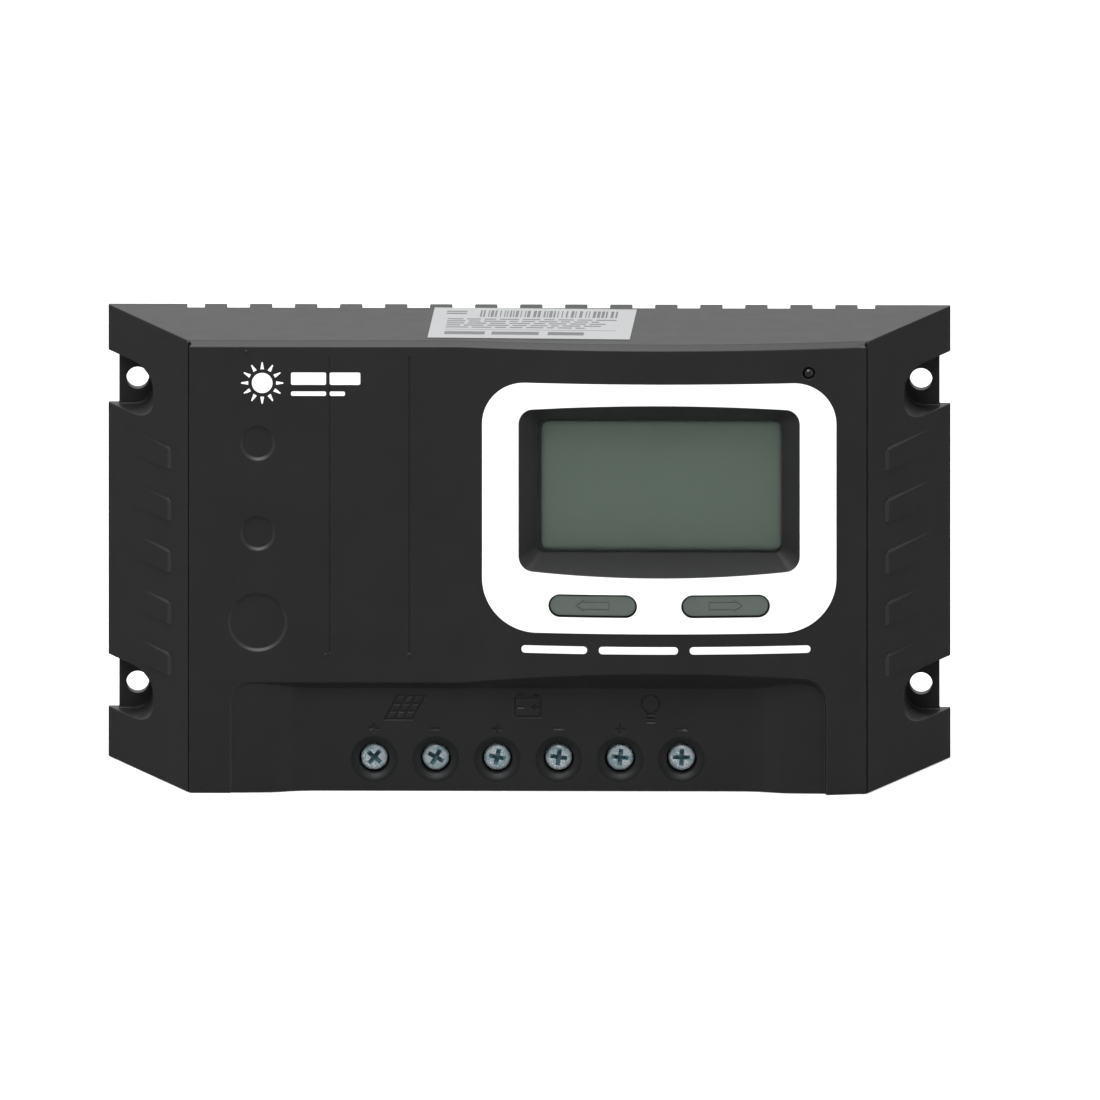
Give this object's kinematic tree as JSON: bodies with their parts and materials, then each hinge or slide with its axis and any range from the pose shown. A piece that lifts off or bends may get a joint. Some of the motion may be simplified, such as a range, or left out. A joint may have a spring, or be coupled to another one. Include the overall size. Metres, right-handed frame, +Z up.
{
  "type": "solar charge controller",
  "caption": "Wall-mounted solar charge controller: dark wedge-sided housing, raised crown with recessed display and pill buttons, screw terminals below, finned heat sink behind.",
  "frame": {"origin": "centre of the four mounting holes, on the wall plane", "axes": "+X to the right seen from the front, +Y into the wall, +Z up"},
  "size_m": [0.187, 0.0455, 0.1027],
  "materials": {
    "housing": "satin, finely grained black-grey",
    "white_gloss": "glossy white film",
    "window": "clear",
    "black_trim": "matt black",
    "lcd": "grey-green liquid crystal",
    "tin_plate": "tin plate",
    "light_guide": "milky",
    "board_green": "solder mask",
    "zinc_screw": "zinc plated",
    "chip_black": "moulded",
    "led": "clear tinted lens",
    "button_grey": "satin grey-green",
    "terminal_black": "moulded",
    "contact_brass": "tinned brass",
    "terminal_zinc": "blue-bright zinc plated",
    "clamp_steel": "zinc plated steel",
    "capacitor_sleeve": "shrink sleeve",
    "shunt_metal": "bare resistance alloy",
    "sensor_bead": "epoxy bead",
    "pad_rubber": "silicone pad",
    "sink_aluminium": "bare extruded",
    "label_silver": "silver-white printed film"
  },
  "bodies": {
    "controller": {"front_housing": "housing", "display_surround": "white_gloss", "display_window": "window", "lcd_bezel": "black_trim", "lcd_panel": "lcd", "lcd_pins": "tin_plate", "backlight": "light_guide", "display_board": "board_green", "display_screws": "zinc_screw", "microcontroller": "chip_black", "status_led": "led", "switch_bodies": "chip_black", "terminal_block": "terminal_black", "terminal_contacts": "contact_brass", "main_board": "board_green", "board_header": "terminal_black", "bulk_capacitor": "capacitor_sleeve", "small_capacitors": "capacitor_sleeve", "driver_chips": "chip_black", "shunt_resistors": "shunt_metal", "surge_diodes": "chip_black", "temperature_sensor": "sensor_bead", "transistors": "chip_black", "transistor_screws": "zinc_screw", "insulating_pad": "pad_rubber", "board_spacers": "contact_brass", "board_screws": "zinc_screw", "heat_sink": "sink_aluminium", "housing_screws": "zinc_screw", "top_label": "label_silver"},
    "left_key": {"left_button": "button_grey", "left_plunger": "button_grey"},
    "right_key": {"right_button": "button_grey", "right_plunger": "button_grey"},
    "screw_1": {"terminal_screw_1": "terminal_zinc"},
    "screw_2": {"terminal_screw_2": "terminal_zinc"},
    "screw_3": {"terminal_screw_3": "terminal_zinc"},
    "screw_4": {"terminal_screw_4": "terminal_zinc"},
    "screw_5": {"terminal_screw_5": "terminal_zinc"},
    "screw_6": {"terminal_screw_6": "terminal_zinc"},
    "clamp_1": {"wire_clamp_1": "clamp_steel"},
    "clamp_2": {"wire_clamp_2": "clamp_steel"},
    "clamp_3": {"wire_clamp_3": "clamp_steel"},
    "clamp_4": {"wire_clamp_4": "clamp_steel"},
    "clamp_5": {"wire_clamp_5": "clamp_steel"},
    "clamp_6": {"wire_clamp_6": "clamp_steel"}
  },
  "joints": [
    {"name": "left_press", "type": "slide", "parent": "controller", "child": "left_key", "axis": [0, 1, 0], "range_m": [0, 0.0005], "stiffness_N_per_m": 800, "springref_m": -0.0005},
    {"name": "right_press", "type": "slide", "parent": "controller", "child": "right_key", "axis": [0, 1, 0], "range_m": [0, 0.0005], "stiffness_N_per_m": 800, "springref_m": -0.0005},
    {"name": "screw_turn_1", "type": "hinge", "parent": "controller", "child": "screw_1", "pos_m": [-0.03413, -0.0344, -0.0445], "axis": [0, 1, 0], "range_deg": [0, 1440]},
    {"name": "clamp_rise_1", "type": "slide", "parent": "controller", "child": "clamp_1", "axis": [0, -1, 0], "range_m": [0, 0.0032]},
    {"name": "screw_turn_2", "type": "hinge", "parent": "controller", "child": "screw_2", "pos_m": [-0.02048, -0.0344, -0.0445], "axis": [0, 1, 0], "range_deg": [0, 1440]},
    {"name": "clamp_rise_2", "type": "slide", "parent": "controller", "child": "clamp_2", "axis": [0, -1, 0], "range_m": [0, 0.0032]},
    {"name": "screw_turn_3", "type": "hinge", "parent": "controller", "child": "screw_3", "pos_m": [-0.00683, -0.0344, -0.0445], "axis": [0, 1, 0], "range_deg": [0, 1440]},
    {"name": "clamp_rise_3", "type": "slide", "parent": "controller", "child": "clamp_3", "axis": [0, -1, 0], "range_m": [0, 0.0032]},
    {"name": "screw_turn_4", "type": "hinge", "parent": "controller", "child": "screw_4", "pos_m": [0.00683, -0.0344, -0.0445], "axis": [0, 1, 0], "range_deg": [0, 1440]},
    {"name": "clamp_rise_4", "type": "slide", "parent": "controller", "child": "clamp_4", "axis": [0, -1, 0], "range_m": [0, 0.0032]},
    {"name": "screw_turn_5", "type": "hinge", "parent": "controller", "child": "screw_5", "pos_m": [0.02048, -0.0344, -0.0445], "axis": [0, 1, 0], "range_deg": [0, 1440]},
    {"name": "clamp_rise_5", "type": "slide", "parent": "controller", "child": "clamp_5", "axis": [0, -1, 0], "range_m": [0, 0.0032]},
    {"name": "screw_turn_6", "type": "hinge", "parent": "controller", "child": "screw_6", "pos_m": [0.03413, -0.0344, -0.0445], "axis": [0, 1, 0], "range_deg": [0, 1440]},
    {"name": "clamp_rise_6", "type": "slide", "parent": "controller", "child": "clamp_6", "axis": [0, -1, 0], "range_m": [0, 0.0032]}
  ],
  "couplings": [
    {"joint": "screw_turn_1", "follows": "clamp_rise_1", "rad_per_m": 7854},
    {"joint": "screw_turn_2", "follows": "clamp_rise_2", "rad_per_m": 7854},
    {"joint": "screw_turn_3", "follows": "clamp_rise_3", "rad_per_m": 7854},
    {"joint": "screw_turn_4", "follows": "clamp_rise_4", "rad_per_m": 7854},
    {"joint": "screw_turn_5", "follows": "clamp_rise_5", "rad_per_m": 7854},
    {"joint": "screw_turn_6", "follows": "clamp_rise_6", "rad_per_m": 7854}
  ]
}
